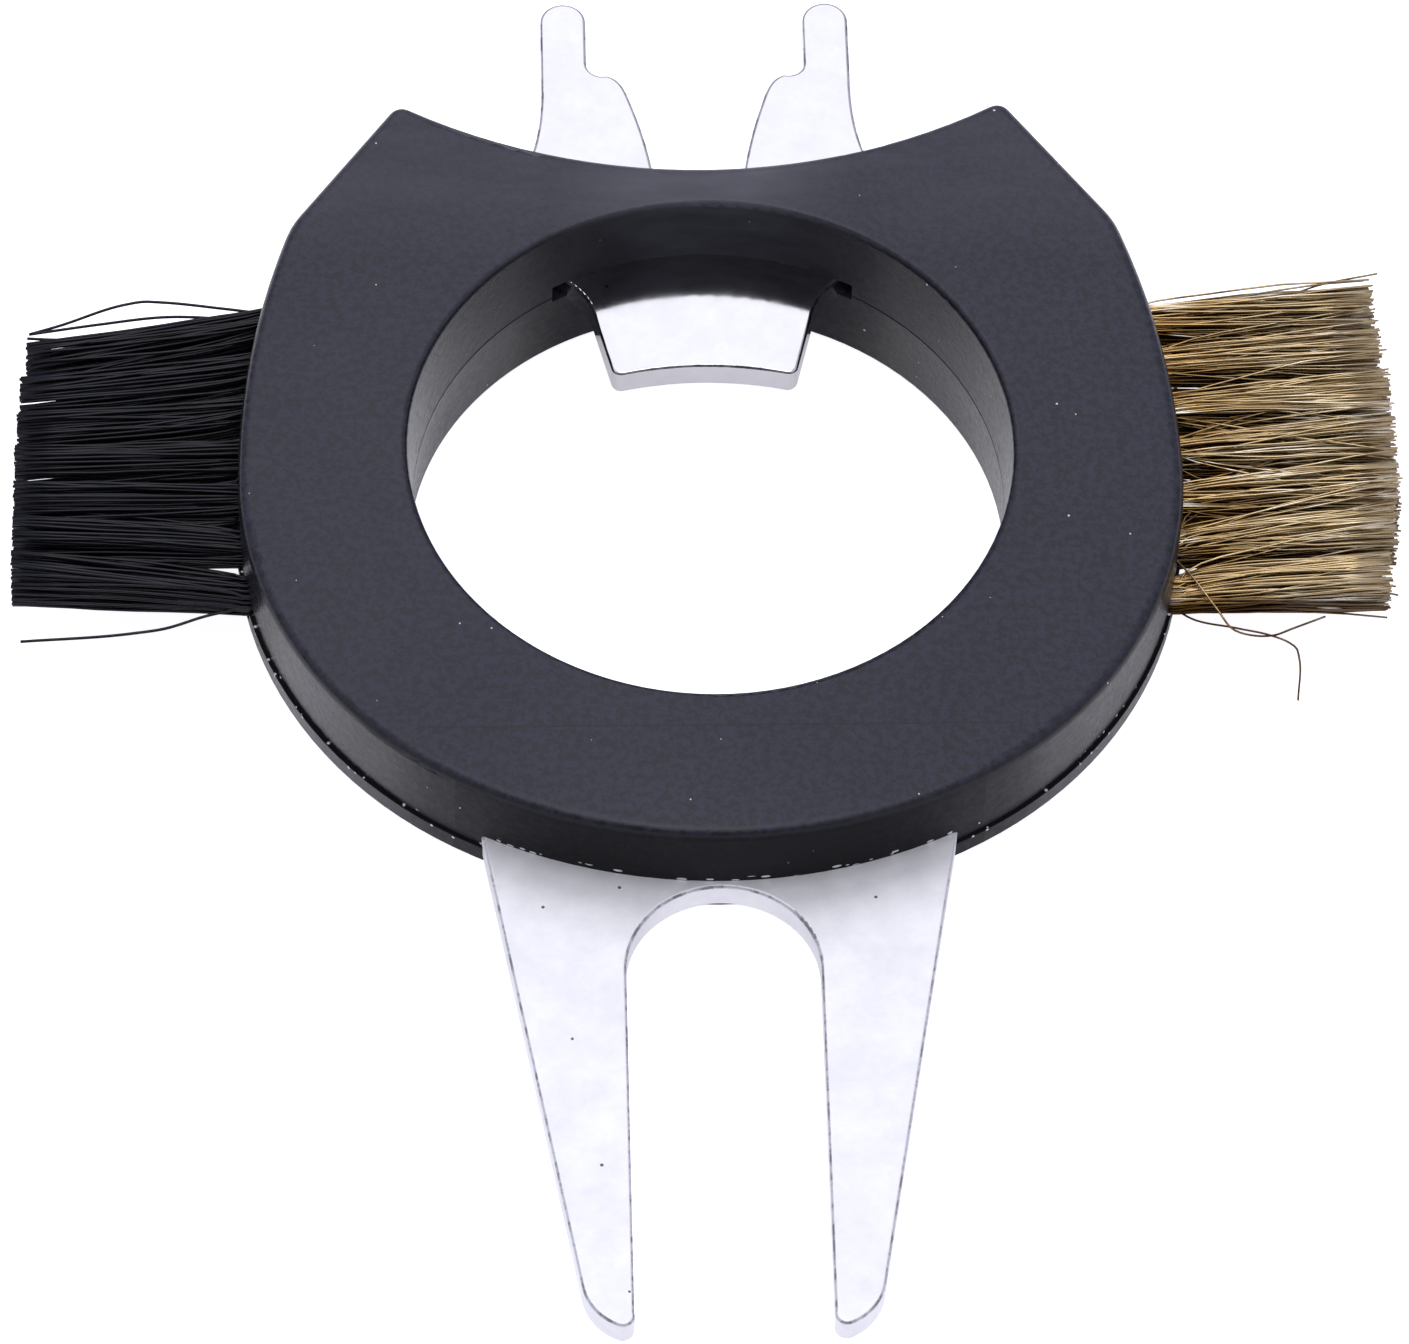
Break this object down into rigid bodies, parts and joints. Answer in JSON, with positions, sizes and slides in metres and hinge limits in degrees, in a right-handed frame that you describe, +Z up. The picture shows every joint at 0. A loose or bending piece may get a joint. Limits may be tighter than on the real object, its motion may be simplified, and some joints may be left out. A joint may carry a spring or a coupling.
{
  "type": "golf groove brush multi-tool",
  "caption": "Ring-shaped golf multi-tool with brass and nylon groove brushes, pitch-mark fork, bottle opener tongue and spike-wrench pins.",
  "frame": {"origin": "centre of the ring's hole in the plane of the underside", "axes": "+Y along the tool from the fork to the spike-wrench pins, +Z up through the hole, +X towards the brass brush"},
  "size_m": [0.08, 0.0917, 0.011],
  "materials": {
    "grip_plastic": "fine satin grain",
    "plate_steel": "polished",
    "brass_wire": "crimped wire, satin",
    "nylon_bristle": "satin bristle",
    "anchor_wire": "bright flat wire"
  },
  "bodies": {
    "root": {"upper_shell": "grip_plastic", "lower_shell": "grip_plastic", "fork_plate": "plate_steel", "wrench_plate": "plate_steel", "brass_anchors": "anchor_wire", "nylon_anchors": "anchor_wire", "brass_tuft_1": "brass_wire", "brass_tuft_2": "brass_wire", "brass_tuft_3": "brass_wire", "brass_tuft_4": "brass_wire", "brass_tuft_5": "brass_wire", "brass_tuft_6": "brass_wire", "brass_tuft_7": "brass_wire", "nylon_tuft_1": "nylon_bristle", "nylon_tuft_2": "nylon_bristle", "nylon_tuft_3": "nylon_bristle", "nylon_tuft_4": "nylon_bristle", "nylon_tuft_5": "nylon_bristle", "nylon_tuft_6": "nylon_bristle", "nylon_tuft_7": "nylon_bristle"}
  },
  "joints": []
}
